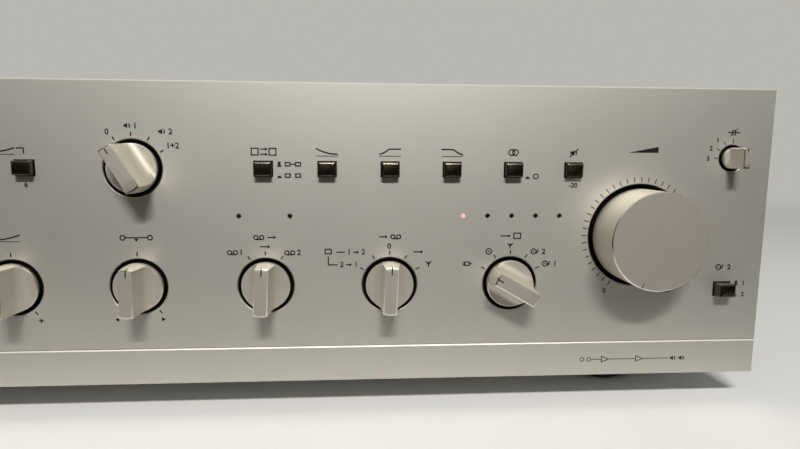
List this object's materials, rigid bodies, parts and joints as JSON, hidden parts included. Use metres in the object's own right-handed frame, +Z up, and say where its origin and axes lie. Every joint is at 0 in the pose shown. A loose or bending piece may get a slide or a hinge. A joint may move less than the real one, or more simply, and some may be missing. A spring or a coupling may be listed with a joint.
{
  "type": "integrated amplifier",
  "caption": "Stereo integrated amplifier: flat aluminium front with turning bar knobs, a large volume knob, push buttons and lamps, vented cover, feet and rear sockets.",
  "frame": {"origin": "under the middle of the amplifier, halfway between the volume knob's face and the ends of the rear sockets, on the surface that the feet stand on", "axes": "+Z up, -Y out of the front panel, +X to the right as seen from the front"},
  "size_m": [0.44, 0.3884, 0.133],
  "materials": {
    "panel_metal": "satin anodised, fine grain",
    "knob_metal": "satin turned, bright cut edges",
    "well_black": "matt black",
    "button_smoke": "smoked metallic gloss",
    "frame_black": "black, half gloss",
    "lens_dark": "dark lens",
    "lens_lit": "lit lens",
    "cover_paint": "fine textured paint",
    "rear_paint": "satin paint",
    "zinc_steel": "zinc plated",
    "foot_plastic": "fine matt",
    "foot_rubber": "matt",
    "screw_black": "black zinc",
    "nickel": "nickel plated",
    "shaft_steel": "ground",
    "control_body": "stamped",
    "switch_plastic": "moulded",
    "core_iron": "varnished laminations",
    "winding_tape": "copper under yellow tape",
    "board_green": "solder mask",
    "capacitor_sleeve": "shrink sleeve",
    "sink_black": "black anodised",
    "transistor_epoxy": "epoxy",
    "plate_black": "phenolic sheet",
    "terminal_black": "moulded",
    "inlet_black": "moulded"
  },
  "bodies": {
    "chassis": {"front_panel": "panel_metal", "front_plate": "zinc_steel", "bottom_pan": "zinc_steel", "rear_panel": "rear_paint", "top_cover": "cover_paint", "feet": "foot_plastic", "foot_pads": "foot_rubber", "foot_screws": "screw_black", "knob_wells": "well_black", "control_bushes": "nickel", "control_nuts": "nickel", "control_pots": "control_body", "selector_switches": "control_body", "button_frames": "frame_black", "button_switches": "switch_plastic", "dark_lamps": "lens_dark", "lit_lamp": "lens_lit", "headphone_socket": "terminal_black", "transformer_core": "core_iron", "transformer_winding": "winding_tape", "main_board": "board_green", "filter_capacitors": "capacitor_sleeve", "heat_sink": "sink_black", "output_transistors": "transistor_epoxy", "jack_plate": "plate_black", "phono_jacks": "nickel", "speaker_terminals": "terminal_black", "ground_post": "nickel", "mains_inlet": "inlet_black", "case_screws": "screw_black"},
    "bass": {"bass_knob": "knob_metal", "bass_shaft": "shaft_steel"},
    "treble": {"treble_knob": "knob_metal", "treble_shaft": "shaft_steel"},
    "balance": {"balance_knob": "knob_metal", "balance_shaft": "shaft_steel"},
    "tape_monitor": {"tape_monitor_knob": "knob_metal", "tape_monitor_shaft": "shaft_steel"},
    "tape_out": {"tape_out_knob": "knob_metal", "tape_out_shaft": "shaft_steel"},
    "function": {"function_knob": "knob_metal", "function_shaft": "shaft_steel"},
    "speakers": {"speakers_knob": "knob_metal", "speakers_shaft": "shaft_steel"},
    "volume": {"volume_knob": "knob_metal", "volume_shaft": "shaft_steel"},
    "cap_trim": {"cap_trim_knob": "knob_metal", "cap_trim_shaft": "shaft_steel"},
    "bass_turnover_low": {"bass_turnover_low_button": "button_smoke"},
    "bass_turnover_high": {"bass_turnover_high_button": "button_smoke"},
    "treble_turnover_low": {"treble_turnover_low_button": "button_smoke"},
    "treble_turnover_high": {"treble_turnover_high_button": "button_smoke"},
    "pre_out": {"pre_out_button": "button_smoke"},
    "bass_contour": {"bass_contour_button": "button_smoke"},
    "subsonic": {"subsonic_button": "button_smoke"},
    "high_cut": {"high_cut_button": "button_smoke"},
    "mode": {"mode_button": "button_smoke"},
    "mute": {"mute_button": "button_smoke"},
    "cartridge": {"cartridge_button": "button_smoke"},
    "power": {"power_button": "button_smoke"}
  },
  "joints": [
    {"name": "bass_turn", "type": "hinge", "parent": "chassis", "child": "bass", "pos_m": [-0.13105, -0.17585, 0.0533], "axis": [0, 1, 0], "range_deg": [-142, 142]},
    {"name": "treble_turn", "type": "hinge", "parent": "chassis", "child": "treble", "pos_m": [-0.08375, -0.17585, 0.0533], "axis": [0, 1, 0], "range_deg": [-142, 142]},
    {"name": "balance_turn", "type": "hinge", "parent": "chassis", "child": "balance", "pos_m": [-0.03645, -0.17585, 0.0533], "axis": [0, 1, 0], "range_deg": [-145, 139]},
    {"name": "tape_monitor_turn", "type": "hinge", "parent": "chassis", "child": "tape_monitor", "pos_m": [0.01295, -0.17585, 0.0533], "axis": [0, 1, 0], "range_deg": [-32.8, 27.2]},
    {"name": "tape_out_turn", "type": "hinge", "parent": "chassis", "child": "tape_out", "pos_m": [0.06235, -0.17585, 0.0533], "axis": [0, 1, 0], "range_deg": [-62.7, 57.3]},
    {"name": "function_turn", "type": "hinge", "parent": "chassis", "child": "function", "pos_m": [0.11175, -0.17585, 0.0533], "axis": [0, 1, 0], "range_deg": [0, 120]},
    {"name": "speakers_turn", "type": "hinge", "parent": "chassis", "child": "speakers", "pos_m": [-0.03645, -0.17585, 0.09975], "axis": [0, 1, 0], "range_deg": [0, 90]},
    {"name": "volume_turn", "type": "hinge", "parent": "chassis", "child": "volume", "pos_m": [0.1653, -0.17585, 0.073], "axis": [0, 1, 0], "range_deg": [0, 310]},
    {"name": "cap_trim_turn", "type": "hinge", "parent": "chassis", "child": "cap_trim", "pos_m": [0.203, -0.17585, 0.1049], "axis": [0, 1, 0], "range_deg": [-90, 0]},
    {"name": "bass_turnover_low_press", "type": "slide", "parent": "chassis", "child": "bass_turnover_low", "axis": [0, 1, 0], "range_m": [0, 0.0025], "stiffness_N_per_m": 300, "springref_m": -0.004},
    {"name": "bass_turnover_high_press", "type": "slide", "parent": "chassis", "child": "bass_turnover_high", "axis": [0, 1, 0], "range_m": [0, 0.0025], "stiffness_N_per_m": 300, "springref_m": -0.004},
    {"name": "treble_turnover_low_press", "type": "slide", "parent": "chassis", "child": "treble_turnover_low", "axis": [0, 1, 0], "range_m": [0, 0.0025], "stiffness_N_per_m": 300, "springref_m": -0.004},
    {"name": "treble_turnover_high_press", "type": "slide", "parent": "chassis", "child": "treble_turnover_high", "axis": [0, 1, 0], "range_m": [0, 0.0025], "stiffness_N_per_m": 300, "springref_m": -0.004},
    {"name": "pre_out_press", "type": "slide", "parent": "chassis", "child": "pre_out", "axis": [0, 1, 0], "range_m": [0, 0.0025], "stiffness_N_per_m": 300, "springref_m": -0.004},
    {"name": "bass_contour_press", "type": "slide", "parent": "chassis", "child": "bass_contour", "axis": [0, 1, 0], "range_m": [0, 0.0025], "stiffness_N_per_m": 300, "springref_m": -0.004},
    {"name": "subsonic_press", "type": "slide", "parent": "chassis", "child": "subsonic", "axis": [0, 1, 0], "range_m": [0, 0.0025], "stiffness_N_per_m": 300, "springref_m": -0.004},
    {"name": "high_cut_press", "type": "slide", "parent": "chassis", "child": "high_cut", "axis": [0, 1, 0], "range_m": [0, 0.0025], "stiffness_N_per_m": 300, "springref_m": -0.004},
    {"name": "mode_press", "type": "slide", "parent": "chassis", "child": "mode", "axis": [0, 1, 0], "range_m": [0, 0.0025], "stiffness_N_per_m": 300, "springref_m": -0.004},
    {"name": "mute_press", "type": "slide", "parent": "chassis", "child": "mute", "axis": [0, 1, 0], "range_m": [-0.0008, 0.0017], "stiffness_N_per_m": 300},
    {"name": "cartridge_press", "type": "slide", "parent": "chassis", "child": "cartridge", "axis": [0, 1, 0], "range_m": [0, 0.0025], "stiffness_N_per_m": 300, "springref_m": -0.004},
    {"name": "power_press", "type": "slide", "parent": "chassis", "child": "power", "axis": [0, 1, 0], "range_m": [0, 0.0025], "stiffness_N_per_m": 300, "springref_m": -0.004}
  ]
}
